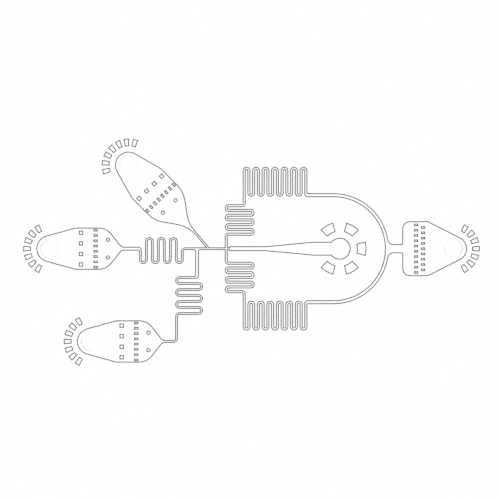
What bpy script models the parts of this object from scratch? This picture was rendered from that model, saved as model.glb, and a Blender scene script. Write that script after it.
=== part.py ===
# Microfluidic droplet chip: a cast silicone slab with a moulded channel network, bonded to a glass slide.
# The origin is the middle of the slide's underside, +Z is up and +X runs along the slide from the
# water inlets to the oil inlet.

import math

import bmesh
import bpy
from mathutils import Vector
from mathutils.geometry import delaunay_2d_cdt

# All sizes are in millimetres and all angles in degrees. MM turns millimetres into metres.
MM = 0.001

# Glass slide
SLIDE_LENGTH = 76.0
SLIDE_WIDTH = 26.0
SLIDE_THICKNESS = 1.0
SLIDE_EDGE_CHAMFER = 0.2

# Silicone slab
SLAB_LENGTH = 34.0
SLAB_WIDTH = 24.0
SLAB_THICKNESS = 5.0
CHANNEL_DEPTH = 0.08
PORT_DIAMETER = 0.75

# Widths of the channels
WATER_CHANNEL_WIDTH = 0.075
WATER_NECK_WIDTH = 0.122
BRANCH_WIDTH = 0.119
ARM_CHANNEL_WIDTH = 0.087
OIL_CHANNEL_WIDTH = 0.127
OIL_NECK_WIDTH = 0.351

# Bends that join a wide channel to a narrow one
BEND_OUTER_RADIUS = 0.128
BEND_INNER_RADIUS = 0.042

# Long axis of the network, and the cross on it
AXIS_Y = 0.139
CROSS_X = -1.064

# Outlet, to the right of the cross
NOZZLE_LENGTH = 0.139
OUTLET_THROAT_WIDTH = 0.167
OUTLET_THROAT_LENGTH = 1.531
OUTLET_FLARE_LENGTH = 1.990
OUTLET_CHANNEL_WIDTH = 0.542
OUTLET_X = 3.719
OUTLET_RADIUS = 0.443
OUTLET_MARK_INNER_RADIUS = 0.747
OUTLET_MARK_OUTER_RADIUS = 1.111
OUTLET_MARK_ANGLE = 29.6
OUTLET_MARK_SPACING = 60.0
OUTLET_MARK_COUNT = 5

# Oil arms, from the cross outwards
ARM_PITCH = 0.200
ARM_SMALL_START = 0.612
ARM_SMALL_LEGS = 7
ARM_SMALL_SPAN = 0.932
ARM_LARGE_LEGS = 14
ARM_LARGE_OFFSET = 0.655
OIL_ARC_RADIUS = 2.256
OIL_ARC_X = 3.453
ARM_LARGE_SPAN = 0.933

# Serpentines of the left and the lower inlet
WATER_PITCH = 0.2525
LEFT_SERPENTINE_X = -4.683
LEFT_SERPENTINE_LEGS = 8
LEFT_SERPENTINE_RISE = 0.306
LEFT_SERPENTINE_SPAN = 0.770
LOWER_SERPENTINE_X = -3.159
LOWER_SERPENTINE_DROP = 1.216
LOWER_SERPENTINE_LEGS = 7
LOWER_SERPENTINE_SPAN = 0.804
LOWER_JOIN_X = -2.295
LOWER_JOIN_FILLET = 0.063
DIAGONAL_JOIN_X = -1.812
DIAGONAL_NECK_LENGTH = 0.1

# Water inlets: places of the bulbs' centres
LEFT_BULB_X = -8.498
LOWER_BULB_X = -6.788
LOWER_BULB_Y = -3.771
DIAGONAL_BULB_X = -5.184
DIAGONAL_BULB_Y = 3.660
DIAGONAL_HEADING = -45.4

# Water inlets: outline, with distances along the inlet measured from the bulb's centre
BULB_RADIUS = 0.551
BODY_START = 1.083
BODY_LENGTH = 0.978
BODY_WIDTH = 1.738
SHOULDER_RADIUS = 0.666
THROAT_ANGLE = 52.0
THROAT_FILLET = 0.250
DIAGONAL_SHOULDER_RADIUS = 1.100
DIAGONAL_THROAT_ANGLE = 35.5
DIAGONAL_THROAT_FILLET = 1.275

# Water inlets: filter posts
SQUARE_POST_ROW = 1.315
SQUARE_POST_SIDE = 0.143
SQUARE_POST_PITCH = 0.445
SQUARE_POST_COUNT = 4
NARROW_POST_ROW = 1.928
NARROW_POST_LENGTH = 0.148
NARROW_POST_WIDTH = 0.070
NARROW_POST_PITCH = 0.222
NARROW_POST_COUNT = 8
ROUND_POST_ROW = 2.445
ROUND_POST_DIAMETER = 0.139
ROUND_POST_SPACING = 0.744

# Oil inlet, with distances along the inlet measured from its flat back wall
OIL_WALL_X = 6.376
OIL_BODY_WIDTH = 2.276
OIL_BODY_LENGTH = 1.058
OIL_CORNER_RADIUS = 0.300
OIL_BULB_DISTANCE = 2.183
OIL_BULB_RADIUS = 0.508
OIL_PORT_DISTANCE = 2.125
OIL_NECK_ARC_FILLET = 0.232
OIL_NECK_WALL_FILLET = 0.042
OIL_POST_ROW = 0.560
OIL_POST_ROW_SPACING = 0.299
OIL_POST_LENGTH = 0.135
OIL_POST_WIDTH = 0.068
OIL_POST_PITCH = 0.223
OIL_POST_COUNT = 10

# Punch-guide marks round the inlets
MARK_INNER_RADIUS = 0.818
MARK_OUTER_RADIUS = 1.109
MARK_ANGLE = 10.0
MARK_SPACING = 20.0
MARK_COUNT = 7

# Facets
TURN_STEP = 22.5
WIDE_STEP = 12.0
PORT_SIDES = 32
# Distance that a cutter reaches past the face that it cuts
CUTTER_REACH = 1.0
# Distance that a channel reaches into the wider space that it opens into
JOINT_REACH = 0.02
MERGE_DISTANCE = 1e-5


# Plan shapes: each is a closed outline, a list of (x, y) points

def arc(centre, radius, start, end, step=WIDE_STEP):
    """Points of an arc from the angle start to the angle end."""
    count = max(1, math.ceil(abs(end - start) / step - MERGE_DISTANCE))
    points = []
    for index in range(count + 1):
        angle = math.radians(start + (end - start) * index / count)
        points.append((centre[0] + radius * math.cos(angle), centre[1] + radius * math.sin(angle)))
    return points


def place(points, origin, heading):
    """Points turned by the heading and moved to the origin."""
    cosine = math.cos(math.radians(heading))
    sine = math.sin(math.radians(heading))
    return [(origin[0] + u * cosine - v * sine, origin[1] + u * sine + v * cosine) for u, v in points]


def mirrored(points, axis_y):
    """Points mirrored in the line y = axis_y, still anticlockwise."""
    return [(x, 2 * axis_y - y) for x, y in reversed(points)]


def both_sides(upper):
    """Closed outline made of an upper half, listed from left to right, and its mirror image."""
    return [(u, -v) for u, v in upper] + list(reversed(upper))


def rectangle(centre_u, centre_v, length, width):
    half_length = length / 2
    half_width = width / 2
    return [
        (centre_u - half_length, centre_v - half_width),
        (centre_u + half_length, centre_v - half_width),
        (centre_u + half_length, centre_v + half_width),
        (centre_u - half_length, centre_v + half_width),
    ]


def sector(inner_radius, outer_radius, middle, spread):
    """Ring sector round the origin, spread degrees wide."""
    start = middle - spread / 2
    end = middle + spread / 2
    return arc((0, 0), outer_radius, start, end) + arc((0, 0), inner_radius, end, start)


class Pen:
    """Draws a channel's centreline from straight runs and round turns."""

    def __init__(self, x, y, heading):
        self.points = [(x, y)]
        self.heading = heading

    def run_to_x(self, x):
        self.points.append((x, self.points[-1][1]))

    def run_to_y(self, y):
        self.points.append((self.points[-1][0], y))

    def turn(self, radius, angle, step=TURN_STEP):
        """Turn left by the angle, or right where it is negative."""
        side = math.copysign(90.0, angle)
        x, y = self.points[-1]
        to_centre = math.radians(self.heading + side)
        centre = (x + radius * math.cos(to_centre), y + radius * math.sin(to_centre))
        start = self.heading - side
        self.points.extend(arc(centre, radius, start, start + angle, step)[1:])
        self.heading += angle

    def channel(self, width):
        """Outline of the channel of this width along the centreline."""
        path = [Vector(point) for point in self.points]
        path = [point for index, point in enumerate(path)
                if index == 0 or (point - path[index - 1]).length > MERGE_DISTANCE]
        left = []
        right = []
        for index, point in enumerate(path):
            before = (point - path[index - 1]).normalized() if index > 0 else None
            after = (path[index + 1] - point).normalized() if index + 1 < len(path) else None
            along = (before or after) + (after or before)
            along.normalize()
            across = Vector((-along.y, along.x))
            reach = width / 2 / along.dot(before or after)
            left.append(tuple(point + across * reach))
            right.append(tuple(point - across * reach))
        return right + left[::-1]


# Inlets

def water_inlet(bulb, heading, shoulder_radius, throat_angle, throat_fillet, neck_width):
    """Outline, posts and marks of a water inlet, and the distance from the bulb to its neck."""
    half_width = BODY_WIDTH / 2
    corner = Vector((BODY_START, half_width))
    tangent = math.degrees(math.atan2(corner.y, corner.x) + math.acos(BULB_RADIUS / corner.length))
    shoulder_u = BODY_START + BODY_LENGTH
    slope = math.radians(throat_angle)
    slope_top = half_width - shoulder_radius * (1 - math.cos(slope))
    slope_bottom = neck_width / 2 + throat_fillet * (1 - math.cos(slope))
    slope_length = (slope_top - slope_bottom) / math.tan(slope)
    neck_u = shoulder_u + (shoulder_radius + throat_fillet) * math.sin(slope) + slope_length

    upper = arc((0, 0), BULB_RADIUS, 180, tangent)[1:]
    upper.append(tuple(corner))
    upper += arc((shoulder_u, half_width - shoulder_radius), shoulder_radius, 90, 90 - throat_angle)
    upper += arc((neck_u, neck_width / 2 + throat_fillet), throat_fillet, 270 - throat_angle, 270)
    outline = [(-BULB_RADIUS, 0.0)] + both_sides(upper)

    posts = []
    for index in range(SQUARE_POST_COUNT):
        v = (index - (SQUARE_POST_COUNT - 1) / 2) * SQUARE_POST_PITCH
        posts.append(rectangle(SQUARE_POST_ROW, v, SQUARE_POST_SIDE, SQUARE_POST_SIDE))
    for index in range(NARROW_POST_COUNT):
        v = (index - (NARROW_POST_COUNT - 1) / 2) * NARROW_POST_PITCH
        posts.append(rectangle(NARROW_POST_ROW, v, NARROW_POST_LENGTH, NARROW_POST_WIDTH))
    for side in (-1, 1):
        centre = (ROUND_POST_ROW, side * ROUND_POST_SPACING / 2)
        posts.append(arc(centre, ROUND_POST_DIAMETER / 2, 0, 360, TURN_STEP)[1:])

    spaces = [place(outline, bulb, heading)]
    spaces += [place(mark, bulb, heading) for mark in guide_marks(180)]
    return spaces, [place(post, bulb, heading) for post in posts], neck_u


def oil_inlet():
    """Outline, posts and marks of the oil inlet."""
    half_width = OIL_BODY_WIDTH / 2
    corner = Vector((OIL_BODY_LENGTH - OIL_BULB_DISTANCE, half_width))
    tangent = math.degrees(math.atan2(corner.y, corner.x) - math.acos(OIL_BULB_RADIUS / corner.length))
    upper = arc((OIL_CORNER_RADIUS, half_width - OIL_CORNER_RADIUS), OIL_CORNER_RADIUS, 180, 90)
    upper.append((OIL_BODY_LENGTH, half_width))
    upper += arc((OIL_BULB_DISTANCE, 0), OIL_BULB_RADIUS, tangent, 0)[:-1]
    tip = (OIL_BULB_DISTANCE + OIL_BULB_RADIUS, 0.0)
    outline = [(u, -v) for u, v in upper] + [tip] + upper[::-1]

    posts = []
    for row, count in enumerate((OIL_POST_COUNT, OIL_POST_COUNT - 1)):
        u = OIL_POST_ROW + row * OIL_POST_ROW_SPACING
        for index in range(count):
            v = (index - (count - 1) / 2) * OIL_POST_PITCH
            posts.append(rectangle(u, v, OIL_POST_LENGTH, OIL_POST_WIDTH))

    wall = (OIL_WALL_X, AXIS_Y)
    port = (OIL_WALL_X + OIL_PORT_DISTANCE, AXIS_Y)
    spaces = [place(outline, wall, 0)]
    spaces += [place(mark, port, 0) for mark in guide_marks(0)]
    return spaces, [place(post, wall, 0) for post in posts]


def guide_marks(middle):
    """The ring of punch-guide marks round an inlet's port, about the angle middle."""
    first = middle - (MARK_COUNT - 1) / 2 * MARK_SPACING
    return [sector(MARK_INNER_RADIUS, MARK_OUTER_RADIUS, first + index * MARK_SPACING, MARK_ANGLE)
            for index in range(MARK_COUNT)]


def mouth(width, fillet, reach):
    """Filleted end of a channel that opens at u = 0 into a space on its +u side."""
    upper = [(-fillet, width / 2)]
    upper += arc((-fillet, width / 2 + fillet), fillet, 270, 360)[1:]
    upper.append((reach, width / 2 + fillet))
    return both_sides(upper)


# Channels

def bend(wide, narrow):
    """Right-angled bend at the origin, from a wide channel along -u into a narrow one along -v."""
    right = narrow / 2
    top = wide / 2
    left = right - BEND_OUTER_RADIUS - JOINT_REACH
    outline = arc((right - BEND_OUTER_RADIUS, top - BEND_OUTER_RADIUS), BEND_OUTER_RADIUS, 0, 90)
    outline += [(left, top), (left, -top)]
    outline += arc((-right - BEND_INNER_RADIUS, -top - BEND_INNER_RADIUS), BEND_INNER_RADIUS, 90, 0)
    outline.append((right, -top - BEND_INNER_RADIUS))
    return outline


def left_channels(neck_x):
    """Neck and serpentine of the left inlet, and the feed that runs on to the nozzle."""
    neck = Pen(neck_x, AXIS_Y, 0)
    neck.run_to_x(LEFT_SERPENTINE_X + WATER_CHANNEL_WIDTH / 2 - BEND_OUTER_RADIUS)
    turn_down = place(bend(WATER_NECK_WIDTH, WATER_CHANNEL_WIDTH), (LEFT_SERPENTINE_X, AXIS_Y), 0)

    radius = WATER_PITCH / 2
    top = AXIS_Y + LEFT_SERPENTINE_RISE
    bottom = top - LEFT_SERPENTINE_SPAN
    pen = Pen(LEFT_SERPENTINE_X, AXIS_Y - WATER_NECK_WIDTH / 2 - BEND_INNER_RADIUS + JOINT_REACH, -90)
    for leg in range(LEFT_SERPENTINE_LEGS - 1):
        going_down = leg % 2 == 0
        pen.run_to_y(bottom if going_down else top)
        pen.turn(radius, 180 if going_down else -180)
    pen.run_to_y(AXIS_Y - radius)
    pen.turn(radius, -90)
    pen.run_to_x(CROSS_X + NOZZLE_LENGTH)
    return [neck.channel(WATER_NECK_WIDTH), turn_down, pen.channel(WATER_CHANNEL_WIDTH)]


def lower_channels(neck_x):
    """Serpentine of the lower inlet, and its branch up to the feed."""
    radius = WATER_PITCH / 2
    leg_height = (LOWER_SERPENTINE_LEGS - 1) * WATER_PITCH
    top_leg_y = AXIS_Y - LOWER_SERPENTINE_DROP
    bottom_leg_y = top_leg_y - leg_height
    left = LOWER_SERPENTINE_X + radius
    right = left + LOWER_SERPENTINE_SPAN
    pen = Pen(neck_x, LOWER_BULB_Y, 0)
    pen.run_to_x(LOWER_SERPENTINE_X - radius)
    pen.turn(radius, 90)
    pen.run_to_y(bottom_leg_y - radius)
    pen.turn(radius, -90)
    for leg in range(LOWER_SERPENTINE_LEGS - 1):
        going_right = leg % 2 == 0
        pen.run_to_x(right if going_right else left)
        pen.turn(radius, 180 if going_right else -180)
    pen.run_to_x(LOWER_JOIN_X - BRANCH_WIDTH / 2 - BEND_INNER_RADIUS + JOINT_REACH)
    turn_up = place(bend(BRANCH_WIDTH, WATER_CHANNEL_WIDTH), (LOWER_JOIN_X, top_leg_y), -90)

    branch = Pen(LOWER_JOIN_X, top_leg_y - WATER_CHANNEL_WIDTH / 2 + BEND_OUTER_RADIUS, 90)
    branch.run_to_y(AXIS_Y)
    feed_wall = (LOWER_JOIN_X, AXIS_Y - WATER_CHANNEL_WIDTH / 2)
    join = place(mouth(BRANCH_WIDTH, LOWER_JOIN_FILLET, JOINT_REACH), feed_wall, 90)
    return [pen.channel(WATER_CHANNEL_WIDTH), turn_up, branch.channel(BRANCH_WIDTH), join]


def diagonal_channel(neck_u):
    """Diagonal inlet's neck, and the straight channel from it to the feed."""
    neck = [(neck_u - JOINT_REACH, 0), (neck_u + DIAGONAL_NECK_LENGTH, 0)]
    pen = Pen(0, 0, DIAGONAL_HEADING)
    pen.points = place(neck, (DIAGONAL_BULB_X, DIAGONAL_BULB_Y), DIAGONAL_HEADING)
    pen.points.append((DIAGONAL_JOIN_X, AXIS_Y))
    return [pen.channel(WATER_CHANNEL_WIDTH)]


def arm_channels():
    """One oil arm, from the cross through both of its serpentines, and where the arc takes over from it."""
    radius = ARM_PITCH / 2
    left = CROSS_X + radius
    right = left + ARM_SMALL_SPAN
    large_bottom = AXIS_Y + OIL_ARC_RADIUS + radius
    large_top = large_bottom + ARM_LARGE_SPAN
    pen = Pen(CROSS_X, AXIS_Y, 90)
    pen.run_to_y(AXIS_Y + ARM_SMALL_START - radius)
    pen.turn(radius, -90)
    for leg in range(ARM_SMALL_LEGS - 1):
        going_right = leg % 2 == 0
        pen.run_to_x(right if going_right else left)
        pen.turn(radius, 180 if going_right else -180)
    pen.run_to_x(left + ARM_LARGE_OFFSET - radius)
    pen.turn(radius, 90)
    for leg in range(ARM_LARGE_LEGS - 1):
        going_up = leg % 2 == 0
        pen.run_to_y(large_top if going_up else large_bottom)
        pen.turn(radius, -180 if going_up else 180)
    arc_y = AXIS_Y + OIL_ARC_RADIUS
    pen.run_to_y(arc_y + OIL_CHANNEL_WIDTH / 2 + BEND_INNER_RADIUS - JOINT_REACH)
    last_leg_x = pen.points[-1][0]
    turn_right = place(bend(OIL_CHANNEL_WIDTH, ARM_CHANNEL_WIDTH), (last_leg_x, arc_y), 180)
    end_x = last_leg_x - ARM_CHANNEL_WIDTH / 2 + BEND_OUTER_RADIUS
    return [pen.channel(ARM_CHANNEL_WIDTH), turn_right], end_x


def oil_channels(arm_end_x):
    """Half arc that joins both arms, and the neck to the oil inlet."""
    pen = Pen(arm_end_x, AXIS_Y + OIL_ARC_RADIUS, 0)
    pen.run_to_x(OIL_ARC_X)
    pen.turn(OIL_ARC_RADIUS, -180, WIDE_STEP / 2)
    pen.run_to_x(arm_end_x)

    outer_radius = OIL_ARC_RADIUS + OIL_CHANNEL_WIDTH / 2
    fillet = OIL_NECK_ARC_FILLET
    fillet_v = OIL_NECK_WIDTH / 2 + fillet
    fillet_u = math.sqrt((outer_radius + fillet) ** 2 - fillet_v ** 2)
    tangent = math.degrees(math.atan2(fillet_v, fillet_u))
    wall_u = OIL_WALL_X - OIL_ARC_X
    upper = [(OIL_ARC_RADIUS, outer_radius * math.sin(math.radians(tangent)))]
    upper += arc((fillet_u, fillet_v), fillet, 180 + tangent, 270)
    upper.append((wall_u - OIL_NECK_WALL_FILLET, OIL_NECK_WIDTH / 2))
    neck = place(both_sides(upper), (OIL_ARC_X, AXIS_Y), 0)
    end = place(mouth(OIL_NECK_WIDTH, OIL_NECK_WALL_FILLET, JOINT_REACH), (OIL_WALL_X, AXIS_Y), 0)
    return [pen.channel(OIL_CHANNEL_WIDTH), neck, end]


def outlet_channels():
    """Outlet channel with its step, throat and flare, the round outlet and its marks."""
    throat_start = CROSS_X + NOZZLE_LENGTH
    flare_start = throat_start + OUTLET_THROAT_LENGTH
    flare_end = flare_start + OUTLET_FLARE_LENGTH
    upper = [
        (throat_start, OUTLET_THROAT_WIDTH / 2),
        (flare_start, OUTLET_THROAT_WIDTH / 2),
        (flare_end, OUTLET_CHANNEL_WIDTH / 2),
        (OUTLET_X, OUTLET_CHANNEL_WIDTH / 2),
    ]
    outlet = (OUTLET_X, AXIS_Y)
    spaces = [place(both_sides(upper), (0, AXIS_Y), 0)]
    spaces.append(arc(outlet, OUTLET_RADIUS, 0, 360)[1:])
    first = -(OUTLET_MARK_COUNT - 1) / 2 * OUTLET_MARK_SPACING
    for index in range(OUTLET_MARK_COUNT):
        middle = first + index * OUTLET_MARK_SPACING
        mark = sector(OUTLET_MARK_INNER_RADIUS, OUTLET_MARK_OUTER_RADIUS, middle, OUTLET_MARK_ANGLE)
        spaces.append(place(mark, outlet, 0))
    return spaces


def network():
    """All recessed outlines, all outlines that stand in them, and the ports' centres."""
    left_bulb = (LEFT_BULB_X, AXIS_Y)
    lower_bulb = (LOWER_BULB_X, LOWER_BULB_Y)
    diagonal_bulb = (DIAGONAL_BULB_X, DIAGONAL_BULB_Y)
    water_throat = (SHOULDER_RADIUS, THROAT_ANGLE, THROAT_FILLET)
    diagonal_throat = (DIAGONAL_SHOULDER_RADIUS, DIAGONAL_THROAT_ANGLE, DIAGONAL_THROAT_FILLET)
    left_spaces, left_posts, left_neck = water_inlet(left_bulb, 0, *water_throat, WATER_NECK_WIDTH)
    lower_spaces, lower_posts, lower_neck = water_inlet(lower_bulb, 0, *water_throat, WATER_CHANNEL_WIDTH)
    diagonal_spaces, diagonal_posts, diagonal_neck = water_inlet(
        diagonal_bulb, DIAGONAL_HEADING, *diagonal_throat, WATER_CHANNEL_WIDTH)
    oil_spaces, oil_posts = oil_inlet()

    arm, arm_end_x = arm_channels()
    channels = arm + [mirrored(outline, AXIS_Y) for outline in arm]
    channels += left_channels(LEFT_BULB_X + left_neck - JOINT_REACH)
    channels += lower_channels(LOWER_BULB_X + lower_neck - JOINT_REACH)
    channels += diagonal_channel(diagonal_neck)
    channels += oil_channels(arm_end_x)
    channels += outlet_channels()

    spaces = channels + left_spaces + lower_spaces + diagonal_spaces + oil_spaces
    posts = left_posts + lower_posts + diagonal_posts + oil_posts
    oil_port = (OIL_WALL_X + OIL_PORT_DISTANCE, AXIS_Y)
    ports = [left_bulb, lower_bulb, diagonal_bulb, oil_port, (OUTLET_X, AXIS_Y)]
    return spaces, posts, ports


# Solids

def add_object(name, bm):
    """New object at the origin that holds the bmesh."""
    mesh = bpy.data.meshes.new(name)
    bm.to_mesh(mesh)
    bm.free()
    obj = bpy.data.objects.new(name, mesh)
    bpy.context.scene.collection.objects.link(obj)
    return obj


def add_block(name, length, width, bottom, top):
    """Block centred on the Z axis, from the height bottom to the height top."""
    bm = bmesh.new()
    bmesh.ops.create_cube(bm, size=1.0)
    bmesh.ops.translate(bm, vec=(0, 0, 0.5), verts=bm.verts)
    bmesh.ops.scale(bm, vec=(length * MM, width * MM, (top - bottom) * MM), verts=bm.verts)
    bmesh.ops.translate(bm, vec=(0, 0, bottom * MM), verts=bm.verts)
    return add_object(name, bm)


def add_relief(name, spaces, posts, bottom, top):
    """Raised pattern that the slab is cast over: the union of the spaces, less the posts."""
    points = []
    faces = []
    for outline in spaces + posts:
        faces.append(list(range(len(points), len(points) + len(outline))))
        points += [Vector(point) for point in outline]
    inside_only = 1
    plan = delaunay_2d_cdt(points, [], faces, inside_only, MERGE_DISTANCE, True)
    plan_points, plan_faces, sources = plan[0], plan[2], plan[5]

    bm = bmesh.new()
    verts = [bm.verts.new((point.x * MM, point.y * MM, bottom * MM)) for point in plan_points]
    for face, source in zip(plan_faces, sources):
        if source and max(source) < len(spaces):
            bm.faces.new([verts[index] for index in face])
    loose = [vert for vert in bm.verts if not vert.link_faces]
    bmesh.ops.delete(bm, geom=loose, context="VERTS")
    bmesh.ops.recalc_face_normals(bm, faces=bm.faces)
    bmesh.ops.dissolve_limit(bm, angle_limit=math.radians(0.05), verts=bm.verts, edges=bm.edges)
    raised = bmesh.ops.extrude_face_region(bm, geom=list(bm.faces), use_keep_orig=True)
    top_verts = [item for item in raised["geom"] if isinstance(item, bmesh.types.BMVert)]
    bmesh.ops.translate(bm, vec=(0, 0, (top - bottom) * MM), verts=top_verts)
    bmesh.ops.recalc_face_normals(bm, faces=bm.faces)
    return add_object(name, bm)


def add_punches(name, centres, bottom, top):
    """One round punch for each port."""
    bm = bmesh.new()
    for x, y in centres:
        punch = bmesh.ops.create_cone(
            bm, cap_ends=True, segments=PORT_SIDES, depth=(top - bottom) * MM,
            radius1=PORT_DIAMETER / 2 * MM, radius2=PORT_DIAMETER / 2 * MM)
        bmesh.ops.translate(bm, vec=(x * MM, y * MM, (bottom + top) / 2 * MM), verts=punch["verts"])
    return add_object(name, bm)


def cut(obj, cutter):
    """Cut the cutter's shape out of the object and keep the cutter as a guide."""
    modifier = obj.modifiers.new(cutter.name, "BOOLEAN")
    modifier.operation = "DIFFERENCE"
    modifier.solver = "EXACT"
    modifier.object = cutter
    cutter.hide_render = True
    cutter.display_type = "WIRE"


def finish(obj, colour, roughness, transmission, ior):
    """Shade the object smooth but for its edges and give it its own material."""
    obj.data.shade_smooth()
    obj.data.set_sharp_from_angle(angle=math.radians(30))
    material = bpy.data.materials.new(obj.name)
    material.use_nodes = True
    shader = material.node_tree.nodes["Principled BSDF"]
    shader.inputs["Base Color"].default_value = (*colour, 1.0)
    shader.inputs["Roughness"].default_value = roughness
    shader.inputs["Metallic"].default_value = 0.0
    shader.inputs["Transmission Weight"].default_value = transmission
    shader.inputs["IOR"].default_value = ior
    obj.data.materials.append(material)


def build_slide():
    slide = add_block("glass_slide", SLIDE_LENGTH, SLIDE_WIDTH, 0.0, SLIDE_THICKNESS)
    chamfer = slide.modifiers.new("ground_edges", "BEVEL")
    chamfer.width = SLIDE_EDGE_CHAMFER * MM
    chamfer.segments = 1
    finish(slide, (0.93, 0.96, 0.95), 0.02, 1.0, 1.52)


def build_slab():
    spaces, posts, ports = network()
    underside = SLIDE_THICKNESS
    top = underside + SLAB_THICKNESS
    slab = add_block("pdms_slab", SLAB_LENGTH, SLAB_WIDTH, underside, top)
    relief = add_relief("relief", spaces, posts, underside - CUTTER_REACH, underside + CHANNEL_DEPTH)
    punches = add_punches("port_punches", ports, underside - CUTTER_REACH, top + CUTTER_REACH)
    cut(slab, relief)
    cut(slab, punches)
    finish(slab, (0.95, 0.95, 0.95), 0.05, 1.0, 1.41)


def main():
    for obj in list(bpy.data.objects):
        bpy.data.objects.remove(obj)
    build_slide()
    build_slab()


main()
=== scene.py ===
import math

import bmesh
import bpy
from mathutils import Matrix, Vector


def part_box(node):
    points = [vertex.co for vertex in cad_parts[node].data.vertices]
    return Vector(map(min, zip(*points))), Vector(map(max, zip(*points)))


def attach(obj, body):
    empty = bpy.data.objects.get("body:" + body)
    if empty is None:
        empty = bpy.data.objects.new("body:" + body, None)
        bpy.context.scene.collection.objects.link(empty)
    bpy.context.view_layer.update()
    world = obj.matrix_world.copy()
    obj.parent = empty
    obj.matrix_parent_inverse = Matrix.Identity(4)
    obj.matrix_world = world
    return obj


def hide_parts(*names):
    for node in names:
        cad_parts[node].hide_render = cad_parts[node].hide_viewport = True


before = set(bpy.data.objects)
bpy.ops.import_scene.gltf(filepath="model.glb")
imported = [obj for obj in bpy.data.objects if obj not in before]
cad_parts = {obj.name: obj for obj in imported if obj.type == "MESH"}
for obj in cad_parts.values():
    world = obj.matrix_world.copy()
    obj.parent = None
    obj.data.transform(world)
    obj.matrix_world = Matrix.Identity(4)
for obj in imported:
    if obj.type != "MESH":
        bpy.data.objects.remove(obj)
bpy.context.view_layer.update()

# All sizes below are in millimetres
MM = 0.001

# Moulded walls of the channels: the plan distance that each wall leans over its own height, on each
# side of the line in the CAD. A mould's relief is a little wider at its foot than at its top. It leans
# more here than a real one does, so that each wall shows from above as a line of the drawing.
WALL_LEAN = 0.0185
# Loop points closer than this are one point before the walls are leaned
CLOSE_POINTS = 0.006
# The silicone's underside lies this deep in the glass, so that light passes the bond without an air gap
BOND_DEPTH = 0.01

# Sides of the slab, cut by hand with a scalpel along a ruler
CUT_WANDER = 0.16
CUT_WAVE_LENGTH = 13.0
CUT_SEED = 4.7
CUT_POINTS_A_SIDE = 59
BLADE_TILT = 0.20
CORNER_FADE = 2.0
TOP_EDGE_ROUNDING = 0.05

# Punched ports, with a rim that the elastic silicone draws down round the hole
PORT_SIDES = 32
PORT_RIM = 0.015

# Worn edges of the chamfers that are ground round the slide
GROUND_EDGE_ROUNDING = 0.04

# Marks in the surfaces. The drag marks lean with the blade and run up the whole side; the torn rings
# go round each port. The grit's own marks are near 0.02 mm, so they are drawn coarser here, to show.
CAST_HAZE = 2.5
DRAG_MARK_SPACING = 0.625
DRAG_MARK_LENGTH = 11.1
DRAG_MARK_DEPTH = 0.04
# Size of the mottle in the painted shade of the channel walls
WALL_SHADE_MOTTLE = 0.05
TORN_RING_SPACING = 0.167
TORN_RING_LENGTH = 3.33
TORN_RING_DEPTH = 0.01
GLASS_SMEAR = 11.1
GRIT_MARK = 0.111
GRIT_DEPTH = 0.02

# Drawing's frame: the view is 500 pixels wide and one pixel is 0.04215 mm at the channels
PIXEL = 0.04215
FRAME_PIXELS = 500
VIEW_CENTRE_X = -0.063
VIEW_CENTRE_Y = 0.084
LENS = 1500.0
SENSOR = 36.0
CAMERA_NEAR = 10.0
CAMERA_FAR = 30000.0

# Floor, lamp and room
FLOOR_HALF_SIDE = 4000.0
FLOOR_GAP = 0.05
LAMP_PLACE = Vector((-550.0, 450.0, 800.0))

# Angles in radians, strengths of light and indices of refraction
LAMP_SPREAD = math.radians(35)
LAMP_STRENGTH = 1.1
ROOM_STRENGTH = 0.7
FLOOR_GLOW_SEEN = 0.3
BLADE_LEAN = 0.12
SILICONE_IOR = 1.41
GLASS_IOR = 1.52
SMOOTH_UP_TO = math.radians(30)
FLAT_UP_TO = math.radians(1)
# Height of a unit normal, under which its face is a wall, and over which it is one of the slide's flats
WALL_NORMAL = 0.5
FLAT_NORMAL = 0.999

# In metres, as the frame's own places are
SAME_LEVEL = 1e-6
SAME_POINT = 5e-7
slab_low, slab_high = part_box("pdms_slab")
_, slide_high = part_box("glass_slide")
bond_z = slide_high.z
top_z = slab_high.z

# Numbers of the Compare node's sockets for whole numbers
INT_A = 2
INT_B = 3


# Node trees

def add_node(tree, kind, inputs=None, **settings):
    """Node of a kind. Inputs map a socket's name or number to a value, an output or several outputs."""
    node = tree.nodes.new(kind)
    for name, value in settings.items():
        setattr(node, name, value)
    for name, value in (inputs or {}).items():
        if isinstance(value, bpy.types.NodeSocket):
            tree.links.new(value, node.inputs[name])
        elif isinstance(value, list):
            for output in value:
                tree.links.new(output, node.inputs[name])
        else:
            node.inputs[name].default_value = value
    return node


def new_shape_tree(name, inputs):
    """Geometry node tree with named inputs, and the outputs of its Group Input."""
    tree = bpy.data.node_groups.new(name, "GeometryNodeTree")
    tree.interface.new_socket("Geometry", in_out="INPUT", socket_type="NodeSocketGeometry")
    for label, kind in inputs.items():
        tree.interface.new_socket(label, in_out="INPUT", socket_type=kind)
    tree.interface.new_socket("Geometry", in_out="OUTPUT", socket_type="NodeSocketGeometry")
    return tree, add_node(tree, "NodeGroupInput").outputs


def shaped(mesh, tree, values):
    """Plain mesh that the tree makes from a mesh and the values of its named inputs."""
    carrier = bpy.data.objects.new("carrier", mesh)
    bpy.context.scene.collection.objects.link(carrier)
    modifier = carrier.modifiers.new("shape", "NODES")
    modifier.node_group = tree
    for item in tree.interface.items_tree:
        if item.in_out == "INPUT" and item.name in values:
            modifier[item.identifier] = values[item.name]
    evaluated = carrier.evaluated_get(bpy.context.evaluated_depsgraph_get())
    result = bpy.data.meshes.new_from_object(evaluated)
    # The tree's materials come after an empty first slot
    result.materials.pop(index=0)
    carrier.modifiers.remove(modifier)
    bpy.data.objects.remove(carrier)
    return result


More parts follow.
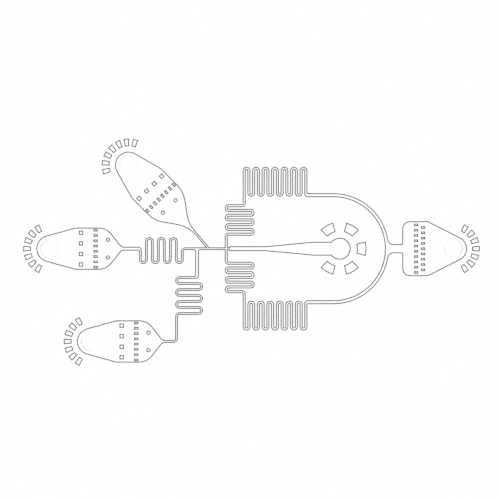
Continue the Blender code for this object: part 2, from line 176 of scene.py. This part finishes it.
# Plan of the slab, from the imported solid

def merged_copy(node):
    """Bmesh copy of a CAD node with its doubles merged."""
    bm = bmesh.new()
    bm.from_mesh(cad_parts[node].data)
    bmesh.ops.remove_doubles(bm, verts=bm.verts, dist=SAME_POINT)
    bm.normal_update()
    return bm


def rims_at(bm, level):
    """Loops of (point, direction away from the silicone) where walls meet the flat faces at a level."""
    rim_edges = {}
    for edge in bm.edges:
        at_level = all(abs(vert.co.z - level) < SAME_LEVEL for vert in edge.verts)
        walls = [face for face in edge.link_faces if abs(face.normal.z) < WALL_NORMAL]
        if at_level and len(walls) == 1 and len(edge.link_faces) == 2:
            for vert in edge.verts:
                rim_edges.setdefault(vert, []).append((edge, walls[0].normal.copy()))
    loops = []
    left = set(rim_edges)
    while left:
        vert = min(left, key=lambda item: item.index)
        edge = rim_edges[vert][0][0]
        loop = []
        while vert in left:
            left.discard(vert)
            first, second = [normal for _, normal in rim_edges[vert]]
            away = (first + second) / (1 + first.dot(second))
            if not loop or (vert.co.xy - loop[-1][0]).length > CLOSE_POINTS * MM:
                loop.append((vert.co.xy.copy(), away.xy.copy()))
            edge = next(other for other, _ in rim_edges[vert] if other is not edge)
            vert = edge.other_vert(vert)
        if max(point.x for point, _ in loop) < slab_high.x - SAME_LEVEL:
            loops.append(loop)
    return loops


def network_plan(channels, port_centres):
    """Flat mesh with the channels' outlines as edges and each port's centre as a loose point."""
    points = []
    edges = []
    directions = []
    for loop in channels:
        start = len(points)
        points += [(point.x, point.y, 0.0) for point, _ in loop]
        directions += [(away.x, away.y, 0.0) for _, away in loop]
        edges += [(start + index, start + (index + 1) % len(loop)) for index in range(len(loop))]
    first_port = len(points)
    points += [(centre.x, centre.y, 0.0) for centre in port_centres]
    directions += [(0.0, 0.0, 0.0)] * len(port_centres)
    mesh = bpy.data.meshes.new("network_plan")
    mesh.from_pydata(points, edges, [])
    away = mesh.attributes.new("away", "FLOAT_VECTOR", "POINT")
    away.data.foreach_set("vector", [part for direction in directions for part in direction])
    port = mesh.attributes.new("port", "BOOLEAN", "POINT")
    port.data.foreach_set("value", [index >= first_port for index in range(len(points))])
    return mesh


# Slab

SLAB_INPUTS = {
    "Length": "NodeSocketFloat",
    "Width": "NodeSocketFloat",
    "Underside": "NodeSocketFloat",
    "Roof": "NodeSocketFloat",
    "Top": "NodeSocketFloat",
    "Wall Lean": "NodeSocketFloat",
    "Cut Points": "NodeSocketInt",
    "Cut Wander": "NodeSocketFloat",
    "Cut Wave Length": "NodeSocketFloat",
    "Cut Seed": "NodeSocketFloat",
    "Blade Tilt": "NodeSocketFloat",
    "Corner Fade": "NodeSocketFloat",
    "Edge Rounding": "NodeSocketFloat",
    "Port Radius": "NodeSocketFloat",
    "Port Sides": "NodeSocketInt",
    "Port Rim": "NodeSocketFloat",
    "Cast": "NodeSocketMaterial",
    "Cut": "NodeSocketMaterial",
    "Moulded": "NodeSocketMaterial",
    "Punched": "NodeSocketMaterial",
}


def sideways(tree, distance, rise=0.0):
    """Offset by a distance in the direction kept at each point, and up by a rise."""
    away = add_node(tree, "GeometryNodeInputNamedAttribute", {"Name": "away"}, data_type="FLOAT_VECTOR")
    up = add_node(tree, "ShaderNodeCombineXYZ", {"Z": rise})
    offset = add_node(tree, "ShaderNodeVectorMath", {
        0: away.outputs["Attribute"], 1: distance, 2: up.outputs[0]}, operation="MULTIPLY_ADD")
    return offset.outputs[0]


def drawn_up(tree, lines, selection, rise, shift):
    """Edges drawn up into walls: the mesh, and which edges are its new upper ones."""
    up = add_node(tree, "ShaderNodeCombineXYZ", {"Z": rise})
    walls = add_node(tree, "GeometryNodeExtrudeMesh", {
        "Mesh": lines, "Selection": selection, "Offset": up.outputs[0]}, mode="EDGES")
    moved = add_node(tree, "GeometryNodeSetPosition", {
        "Geometry": walls.outputs["Mesh"], "Selection": walls.outputs["Top"], "Offset": shift})
    return moved.outputs[0], walls.outputs["Top"]


def upper_rim(tree, walls, upper_edges):
    """The upper edges of walls, alone."""
    rim = add_node(tree, "GeometryNodeSeparateGeometry", {
        "Geometry": walls, "Selection": upper_edges}, domain="EDGE")
    return rim.outputs["Selection"]


def filled(tree, rims, height):
    """Flat face at a height inside the rims, with a hole for each rim that lies in another."""
    joined = add_node(tree, "GeometryNodeJoinGeometry", {"Geometry": rims})
    curves = add_node(tree, "GeometryNodeMeshToCurve", {"Mesh": joined.outputs[0]})
    face = add_node(tree, "GeometryNodeFillCurve", {"Curve": curves.outputs[0]}, mode="TRIANGLES")
    up = add_node(tree, "ShaderNodeCombineXYZ", {"Z": height})
    placed = add_node(tree, "GeometryNodeSetPosition", {
        "Geometry": face.outputs[0], "Offset": up.outputs[0]})
    return placed.outputs[0]


def difference(tree, first, second):
    """The first value less the second."""
    return add_node(tree, "ShaderNodeMath", {0: first, 1: second}, operation="SUBTRACT").outputs[0]


def wandering(tree, given, most):
    """Offset into the silicone by up to a distance, as the blade wandered, and none at the corners."""
    place = add_node(tree, "GeometryNodeInputPosition").outputs[0]
    frequency = add_node(tree, "ShaderNodeMath", {
        0: 1.0, 1: given["Cut Wave Length"]}, operation="DIVIDE")
    wave = add_node(tree, "ShaderNodeTexNoise", {
        "Vector": place, "W": given["Cut Seed"], "Scale": frequency.outputs[0], "Detail": 2.0},
        noise_dimensions="4D")
    distances = add_node(tree, "ShaderNodeVectorMath", {0: place}, operation="ABSOLUTE")
    from_axes = add_node(tree, "ShaderNodeVectorMath", {0: distances.outputs[0], 1: (1.0, 1.0, 0.0)},
                         operation="DOT_PRODUCT")
    both_sides = add_node(tree, "ShaderNodeMath", {
        0: given["Length"], 1: given["Width"]}, operation="ADD")
    corner = add_node(tree, "ShaderNodeMath", {0: both_sides.outputs[0], 1: 0.5}, operation="MULTIPLY")
    fade_start = difference(tree, corner.outputs[0], given["Corner Fade"])
    inward = add_node(tree, "ShaderNodeMapRange", {
        "Value": from_axes.outputs["Value"], "From Min": fade_start, "From Max": corner.outputs[0],
        "To Min": 1.0, "To Max": 0.0})
    distance = add_node(tree, "ShaderNodeMath", {0: wave.outputs["Fac"], 1: most}, operation="MULTIPLY")
    faded = add_node(tree, "ShaderNodeMath", {
        0: distance.outputs[0], 1: inward.outputs[0]}, operation="MULTIPLY")
    negative = difference(tree, 0.0, faded.outputs[0])
    return sideways(tree, negative)


def cut_sides(tree, given):
    """Sides of the slab: their lowest ring, the walls up to the top, and which edges are top ones."""
    outline = add_node(tree, "GeometryNodeCurvePrimitiveQuadrilateral", {
        "Width": given["Length"], "Height": given["Width"]}, mode="RECTANGLE")
    points = add_node(tree, "GeometryNodeSubdivideCurve", {
        "Curve": outline.outputs[0], "Cuts": given["Cut Points"]})
    tangent = add_node(tree, "GeometryNodeInputTangent")
    outward = add_node(tree, "ShaderNodeVectorMath", {0: tangent.outputs[0], 1: (0.0, 0.0, 1.0)},
                       operation="CROSS_PRODUCT")
    marked = add_node(tree, "GeometryNodeStoreNamedAttribute", {
        "Geometry": points.outputs[0], "Name": "away", "Value": outward.outputs[0]},
        data_type="FLOAT_VECTOR", domain="POINT")
    lines = add_node(tree, "GeometryNodeCurveToMesh", {"Curve": marked.outputs[0]})
    low = add_node(tree, "ShaderNodeCombineXYZ", {"Z": given["Underside"]})
    lowered = add_node(tree, "GeometryNodeSetPosition", {
        "Geometry": lines.outputs[0], "Offset": low.outputs[0]})
    ring = add_node(tree, "GeometryNodeSetPosition", {
        "Geometry": lowered.outputs[0], "Offset": wandering(tree, given, given["Cut Wander"])})
    straight_up_to = difference(tree, given["Top"], given["Edge Rounding"])
    height = difference(tree, straight_up_to, given["Underside"])
    tilt = wandering(tree, given, given["Blade Tilt"])
    walls, upper = drawn_up(tree, ring.outputs[0], True, height, tilt)
    inwards = difference(tree, 0.0, given["Edge Rounding"])
    rounded, top_edges = drawn_up(tree, walls, upper, given["Edge Rounding"], sideways(tree, inwards))
    return ring.outputs[0], rounded, top_edges


def port_rings(tree, given, centres):
    """Ring of edges on every port's centre. Its points keep their direction away from the centre."""
    circle = add_node(tree, "GeometryNodeMeshCircle", {
        "Vertices": given["Port Sides"], "Radius": given["Port Radius"]}, fill_type="NONE")
    place = add_node(tree, "GeometryNodeInputPosition").outputs[0]
    outward = add_node(tree, "ShaderNodeVectorMath", {0: place}, operation="NORMALIZE")
    marked = add_node(tree, "GeometryNodeStoreNamedAttribute", {
        "Geometry": circle.outputs[0], "Name": "away", "Value": outward.outputs[0]},
        data_type="FLOAT_VECTOR", domain="POINT")
    placed = add_node(tree, "GeometryNodeInstanceOnPoints", {
        "Points": centres, "Instance": marked.outputs[0]})
    return add_node(tree, "GeometryNodeRealizeInstances", {"Geometry": placed.outputs[0]}).outputs[0]


def slab_tree():
    """Tree that raises the slab from its plan: leaning channel walls, punched ports and cut sides."""
    tree, given = new_shape_tree("cast_slab", SLAB_INPUTS)
    is_port = add_node(tree, "GeometryNodeInputNamedAttribute", {"Name": "port"}, data_type="BOOLEAN")
    plan = add_node(tree, "GeometryNodeSeparateGeometry", {
        "Geometry": given["Geometry"], "Selection": is_port.outputs["Attribute"]}, domain="POINT")

    lean_back = difference(tree, 0.0, given["Wall Lean"])
    feet = add_node(tree, "GeometryNodeSetPosition", {
        "Geometry": plan.outputs["Inverted"], "Offset": sideways(tree, lean_back, given["Underside"])})
    twice = add_node(tree, "ShaderNodeMath", {0: given["Wall Lean"], 1: 2.0}, operation="MULTIPLY")
    depth = difference(tree, given["Roof"], given["Underside"])
    walls, roof_edges = drawn_up(tree, feet.outputs[0], True, depth, sideways(tree, twice.outputs[0]))

    up = add_node(tree, "ShaderNodeCombineXYZ", {"Z": given["Roof"]})
    rings = add_node(tree, "GeometryNodeSetPosition", {
        "Geometry": port_rings(tree, given, plan.outputs["Selection"]), "Offset": up.outputs[0]})
    bore_height = difference(tree, difference(tree, given["Top"], given["Port Rim"]), given["Roof"])
    bores, bore_edges = drawn_up(tree, rings.outputs[0], True, bore_height, (0.0, 0.0, 0.0))
    outwards = sideways(tree, given["Port Rim"])
    rims, rim_edges = drawn_up(tree, bores, bore_edges, given["Port Rim"], outwards)

    lowest, sides, top_edges = cut_sides(tree, given)
    underside = filled(tree, [lowest, feet.outputs[0]], given["Underside"])
    roof = filled(tree, [upper_rim(tree, walls, roof_edges), rings.outputs[0]], given["Roof"])
    top_rims = [upper_rim(tree, sides, top_edges), upper_rim(tree, rims, rim_edges)]
    top = filled(tree, top_rims, given["Top"])
    parts = [underside, roof, top]
    for number, walls_of_kind in enumerate((sides, walls, rims), start=1):
        numbered = add_node(tree, "GeometryNodeStoreNamedAttribute", {
            "Geometry": walls_of_kind, "Name": "finish", "Value": number},
            data_type="INT", domain="FACE")
        parts.append(numbered.outputs[0])
    whole = add_node(tree, "GeometryNodeJoinGeometry", {"Geometry": parts})
    closed = add_node(tree, "GeometryNodeMergeByDistance", {
        "Geometry": whole.outputs[0], "Distance": SAME_POINT})

    real = add_node(tree, "GeometryNodeRealizeInstances", {"Geometry": closed.outputs[0]})
    done = add_node(tree, "GeometryNodeSetMaterial", {
        "Geometry": real.outputs[0], "Material": given["Cast"]})
    finish = add_node(tree, "GeometryNodeInputNamedAttribute", {"Name": "finish"}, data_type="INT")
    for number, label in enumerate(("Cut", "Moulded", "Punched"), start=1):
        chosen = add_node(tree, "FunctionNodeCompare", {
            INT_A: finish.outputs["Attribute"], INT_B: number}, data_type="INT", operation="EQUAL")
        done = add_node(tree, "GeometryNodeSetMaterial", {
            "Geometry": done.outputs[0], "Selection": chosen.outputs[0], "Material": given[label]})
    add_node(tree, "NodeGroupOutput", {"Geometry": done.outputs[0]})
    return tree


def add_piece(name, mesh):
    """Piece of the object, riding on the root."""
    piece = bpy.data.objects.new(name, mesh)
    bpy.context.scene.collection.objects.link(piece)
    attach(piece, "root")
    return piece


def build_slab():
    """The silicone slab: cast faces, cut sides, leaning channel walls and punched ports."""
    source = merged_copy("pdms_slab")
    roof_z = min(vert.co.z for vert in source.verts if vert.co.z > bond_z + SAME_LEVEL)
    ports = [[point for point, _ in loop] for loop in rims_at(source, top_z)]
    centres = [sum(port, Vector((0, 0))) / len(port) for port in ports]
    plan = network_plan(rims_at(source, bond_z), centres)
    source.free()
    mesh = shaped(plan, slab_tree(), {
        "Length": slab_high.x - slab_low.x,
        "Width": slab_high.y - slab_low.y,
        "Underside": bond_z - BOND_DEPTH * MM,
        "Roof": roof_z,
        "Top": top_z,
        "Wall Lean": WALL_LEAN * MM,
        "Cut Points": CUT_POINTS_A_SIDE,
        "Cut Wander": CUT_WANDER * MM,
        "Cut Wave Length": CUT_WAVE_LENGTH * MM,
        "Cut Seed": CUT_SEED,
        "Blade Tilt": BLADE_TILT * MM,
        "Corner Fade": CORNER_FADE * MM,
        "Edge Rounding": TOP_EDGE_ROUNDING * MM,
        "Port Radius": (ports[0][0] - centres[0]).length,
        "Port Sides": PORT_SIDES,
        "Port Rim": PORT_RIM * MM,
        "Cast": cast_silicone(),
        "Cut": cut_silicone(),
        "Moulded": channel_wall_painted_shade(),
        "Punched": punched_silicone(),
    })
    for name in ("away", "port", "finish"):
        mesh.attributes.remove(mesh.attributes[name])
    bm = bmesh.new()
    bm.from_mesh(mesh)
    bmesh.ops.recalc_face_normals(bm, faces=bm.faces)
    bm.to_mesh(mesh)
    bm.free()
    mesh.name = "silicone_slab"
    mesh.shade_smooth()
    mesh.set_sharp_from_angle(angle=SMOOTH_UP_TO)
    slab = add_piece("silicone_slab", mesh)
    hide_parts("pdms_slab")


def build_slide():
    """The glass slide with polished faces and ground edges."""
    polished, ground = range(2)
    bm = merged_copy("glass_slide")
    bmesh.ops.dissolve_limit(bm, angle_limit=FLAT_UP_TO, verts=bm.verts, edges=bm.edges)
    bmesh.ops.bevel(bm, geom=list(bm.edges), offset=GROUND_EDGE_ROUNDING * MM, segments=2,
                    affect="EDGES", profile=0.5, clamp_overlap=True)
    bm.normal_update()
    for face in bm.faces:
        face.smooth = True
        face.material_index = polished if abs(face.normal.z) > FLAT_NORMAL else ground
    for edge in bm.edges:
        first, second = edge.link_faces
        edge.smooth = first.material_index == second.material_index
    mesh = bpy.data.meshes.new("glass_slide_finished")
    bm.to_mesh(mesh)
    bm.free()
    mesh.materials.append(float_glass())
    mesh.materials.append(ground_glass())
    slide = add_piece("glass_slide_finished", mesh)
    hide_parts("glass_slide")


# Materials

def colour(code):
    """Linear colour with alpha from an sRGB hex code."""
    parts = [int(code[index:index + 2], 16) / 255 for index in (0, 2, 4)]
    linear = [part / 12.92 if part <= 0.04045 else ((part + 0.055) / 1.055) ** 2.4 for part in parts]
    return (*linear, 1.0)


def new_material(name):
    """Empty material and its node tree."""
    material = bpy.data.materials.new(name)
    material.use_nodes = True
    material.node_tree.nodes.clear()
    return material, material.node_tree


def per_metre(size):
    """Scale of a pattern whose marks have a size in millimetres."""
    return 1 / (size * MM)


def cast_silicone():
    """Clear silicone cast between a polished wafer and the air: glassy, with the faintest haze."""
    material, tree = new_material("clear_silicone_cast")
    place = add_node(tree, "ShaderNodeTexCoord").outputs["Object"]
    haze = add_node(tree, "ShaderNodeTexNoise", {
        "Vector": place, "Scale": per_metre(CAST_HAZE), "Detail": 3.0})
    roughness = add_node(tree, "ShaderNodeMapRange", {
        "Value": haze.outputs["Fac"], "From Min": 0.35, "From Max": 0.65,
        "To Min": 0.0, "To Max": 0.012})
    shader = add_node(tree, "ShaderNodeBsdfPrincipled", {
        "Base Color": colour("FFFFFF"), "Transmission Weight": 1.0, "IOR": SILICONE_IOR,
        "Roughness": roughness.outputs["Result"]})
    add_node(tree, "ShaderNodeOutputMaterial", {"Surface": shader.outputs[0]})
    return material


def cut_silicone():
    """Clear silicone cut with a scalpel: satin, with faint upright drag marks of the blade."""
    material, tree = new_material("clear_silicone_scalpel_cut")
    place = add_node(tree, "ShaderNodeTexCoord").outputs["Object"]
    across = per_metre(DRAG_MARK_SPACING)
    upright = per_metre(DRAG_MARK_LENGTH)
    lean = add_node(tree, "ShaderNodeMapping", {
        "Vector": place, "Rotation": (BLADE_LEAN, BLADE_LEAN, 0.0),
        "Scale": (across, across, upright)})
    marks = add_node(tree, "ShaderNodeTexNoise", {
        "Vector": lean.outputs[0], "Scale": 1.0, "Detail": 3.0, "Roughness": 0.5})
    roughness = add_node(tree, "ShaderNodeMapRange", {
        "Value": marks.outputs["Fac"], "From Min": 0.3, "From Max": 0.7, "To Min": 0.25, "To Max": 0.4})
    bump = add_node(tree, "ShaderNodeBump", {
        "Height": marks.outputs["Fac"], "Strength": 0.08, "Distance": DRAG_MARK_DEPTH * MM})
    shader = add_node(tree, "ShaderNodeBsdfPrincipled", {
        "Base Color": colour("F8FAFA"), "Transmission Weight": 0.8, "IOR": SILICONE_IOR,
        "Roughness": roughness.outputs["Result"], "Normal": bump.outputs["Normal"]})
    add_node(tree, "ShaderNodeOutputMaterial", {"Surface": shader.outputs[0]})
    return material


def channel_wall_painted_shade():
    """Moulded side wall of a channel, painted as a dark line of shade on a bright ground.

    The silicone is clear, but a wall throws light aside and so looks dark. In this white room that
    darkness is painted shade: the wall has a dark tone, mottled at random, as its own colour.
    """
    material, tree = new_material("silicone_channel_painted_shade")
    place = add_node(tree, "ShaderNodeTexCoord").outputs["Object"]
    shade_mottle = add_node(tree, "ShaderNodeTexNoise", {
        "Vector": place, "Scale": per_metre(WALL_SHADE_MOTTLE), "Detail": 2.0})
    # Painted shade: two dark tones, mottled at random, stand in for the light that the wall throws
    # aside
    tone = add_node(tree, "ShaderNodeMix", {
        "Factor": shade_mottle.outputs["Fac"], "A": colour("242324"), "B": colour("3A393A")}, data_type="RGBA")
    shader = add_node(tree, "ShaderNodeBsdfPrincipled", {
        "Base Color": tone.outputs["Result"], "Roughness": 0.55, "IOR": SILICONE_IOR})
    add_node(tree, "ShaderNodeOutputMaterial", {"Surface": shader.outputs[0]})
    return material


def punched_silicone():
    """Wall of a punched port: a little frosted, with faint rings where the punch tore the core out."""
    material, tree = new_material("clear_silicone_punched")
    place = add_node(tree, "ShaderNodeTexCoord").outputs["Object"]
    along = per_metre(TORN_RING_LENGTH)
    apart = per_metre(TORN_RING_SPACING)
    rings = add_node(tree, "ShaderNodeMapping", {"Vector": place, "Scale": (along, along, apart)})
    marks = add_node(tree, "ShaderNodeTexNoise", {
        "Vector": rings.outputs[0], "Scale": 1.0, "Detail": 3.0})
    bump = add_node(tree, "ShaderNodeBump", {
        "Height": marks.outputs["Fac"], "Strength": 0.15, "Distance": TORN_RING_DEPTH * MM})
    shader = add_node(tree, "ShaderNodeBsdfPrincipled", {
        "Base Color": colour("FAFBFB"), "Transmission Weight": 0.85, "IOR": SILICONE_IOR,
        "Roughness": 0.15, "Normal": bump.outputs["Normal"]})
    add_node(tree, "ShaderNodeOutputMaterial", {"Surface": shader.outputs[0]})
    return material


def float_glass():
    """Soda-lime float glass, 1 mm thick: clear through its faces, and green only along its edges."""
    material, tree = new_material("soda_lime_float_glass")
    place = add_node(tree, "ShaderNodeTexCoord").outputs["Object"]
    smears = add_node(tree, "ShaderNodeTexNoise", {
        "Vector": place, "Scale": per_metre(GLASS_SMEAR), "Detail": 4.0})
    roughness = add_node(tree, "ShaderNodeMapRange", {
        "Value": smears.outputs["Fac"], "From Min": 0.4, "From Max": 0.7,
        "To Min": 0.0, "To Max": 0.02})
    shader = add_node(tree, "ShaderNodeBsdfPrincipled", {
        "Base Color": colour("FFFFFF"), "Transmission Weight": 1.0, "IOR": GLASS_IOR,
        "Roughness": roughness.outputs["Result"]})
    add_node(tree, "ShaderNodeOutputMaterial", {"Surface": shader.outputs[0]})
    return material


def ground_glass():
    """Ground edge of the slide: matt and green, because light comes to it along the whole glass."""
    material, tree = new_material("soda_lime_glass_ground_edge")
    place = add_node(tree, "ShaderNodeTexCoord").outputs["Object"]
    grit = add_node(tree, "ShaderNodeTexNoise", {
        "Vector": place, "Scale": per_metre(GRIT_MARK), "Detail": 3.0})
    tone = add_node(tree, "ShaderNodeMix", {
        "Factor": grit.outputs["Fac"], "A": colour("9FC4B6"), "B": colour("D2E6DD")}, data_type="RGBA")
    bump = add_node(tree, "ShaderNodeBump", {
        "Height": grit.outputs["Fac"], "Strength": 0.5, "Distance": GRIT_DEPTH * MM})
    shader = add_node(tree, "ShaderNodeBsdfPrincipled", {
        "Base Color": tone.outputs["Result"], "Transmission Weight": 0.5, "IOR": GLASS_IOR,
        "Roughness": 0.45, "Normal": bump.outputs["Normal"]})
    add_node(tree, "ShaderNodeOutputMaterial", {"Surface": shader.outputs[0]})
    return material


# Studio

def build_floor():
    """White floor with the object's soft shadow. Clear parts show it lit, as they let light through."""
    material, tree = new_material("white_floor")
    path = add_node(tree, "ShaderNodeLightPath")
    paint = add_node(tree, "ShaderNodeBsdfDiffuse", {"Color": colour("E7E7E7")})
    shade = add_node(tree, "ShaderNodeBsdfDiffuse", {"Color": colour("E1E1E1")})
    glow = add_node(tree, "ShaderNodeEmission", {
        "Color": colour("FFFFFF"), "Strength": FLOOR_GLOW_SEEN})
    shaded = add_node(tree, "ShaderNodeAddShader", {0: shade.outputs[0], 1: glow.outputs[0]})
    bright = add_node(tree, "ShaderNodeEmission", {"Color": colour("FFFFFF"), "Strength": 1.0})
    direct = add_node(tree, "ShaderNodeMixShader", {
        0: path.outputs["Is Camera Ray"], 1: paint.outputs[0], 2: shaded.outputs[0]})
    through = add_node(tree, "ShaderNodeMath", {
        0: path.outputs["Is Glossy Ray"], 1: path.outputs["Is Transmission Ray"]}, operation="MAXIMUM")
    surface = add_node(tree, "ShaderNodeMixShader", {
        0: through.outputs[0], 1: direct.outputs[0], 2: bright.outputs[0]})
    add_node(tree, "ShaderNodeOutputMaterial", {"Surface": surface.outputs[0]})
    bm = bmesh.new()
    bmesh.ops.create_grid(bm, x_segments=1, y_segments=1, size=FLOOR_HALF_SIDE * MM)
    bmesh.ops.translate(bm, vec=(0, 0, -FLOOR_GAP * MM), verts=bm.verts)
    mesh = bpy.data.meshes.new("floor")
    bm.to_mesh(mesh)
    bm.free()
    floor = bpy.data.objects.new("floor", mesh)
    bpy.context.scene.collection.objects.link(floor)
    mesh.materials.append(material)


def build_world():
    """White surroundings, a little dimmer as a light than as a background."""
    world = bpy.data.worlds.new("white_room")
    world.use_nodes = True
    tree = world.node_tree
    tree.nodes.clear()
    path = add_node(tree, "ShaderNodeLightPath")
    mirrored = add_node(tree, "ShaderNodeMath", {
        0: path.outputs["Is Camera Ray"], 1: path.outputs["Is Glossy Ray"]}, operation="MAXIMUM")
    seen = add_node(tree, "ShaderNodeMath", {
        0: mirrored.outputs[0], 1: path.outputs["Is Transmission Ray"]}, operation="MAXIMUM")
    light = add_node(tree, "ShaderNodeBackground", {
        "Color": colour("FFFFFF"), "Strength": ROOM_STRENGTH})
    backdrop = add_node(tree, "ShaderNodeBackground", {"Color": colour("FFFFFF"), "Strength": 1.0})
    surface = add_node(tree, "ShaderNodeMixShader", {
        0: seen.outputs[0], 1: light.outputs[0], 2: backdrop.outputs[0]})
    add_node(tree, "ShaderNodeOutputWorld", {"Surface": surface.outputs[0]})
    bpy.context.scene.world = world


def build_lamp():
    """One wide soft light, high on the left and behind, that reaches the whole floor evenly."""
    lamp = bpy.data.lights.new("soft_light", "SUN")
    lamp.energy = LAMP_STRENGTH
    lamp.angle = LAMP_SPREAD
    soft_light = bpy.data.objects.new("soft_light", lamp)
    bpy.context.scene.collection.objects.link(soft_light)
    soft_light.location = LAMP_PLACE * MM
    soft_light.rotation_euler = (-LAMP_PLACE).to_track_quat("-Z", "Y").to_euler()


def build_camera():
    """Camera straight above the chip, with a lens long enough to flatten the view."""
    camera = bpy.data.cameras.new("camera")
    camera.lens = LENS
    camera.sensor_width = SENSOR
    camera.sensor_fit = "HORIZONTAL"
    camera.clip_start = CAMERA_NEAR * MM
    camera.clip_end = CAMERA_FAR * MM
    view_width = FRAME_PIXELS * PIXEL * MM
    # Seen through the silicone, the channels look closer by this much
    lift = (top_z - bond_z) * (1 - 1 / SILICONE_IOR)
    height = bond_z + lift + view_width * LENS / SENSOR
    eye = bpy.data.objects.new("camera", camera)
    bpy.context.scene.collection.objects.link(eye)
    eye.location = (VIEW_CENTRE_X * MM, VIEW_CENTRE_Y * MM, height)
    bpy.context.scene.camera = eye


def main():
    """Build both pieces and the studio."""
    build_slab()
    build_slide()
    build_floor()
    build_world()
    build_lamp()
    build_camera()
    bpy.context.scene.view_settings.view_transform = "Standard"


main()
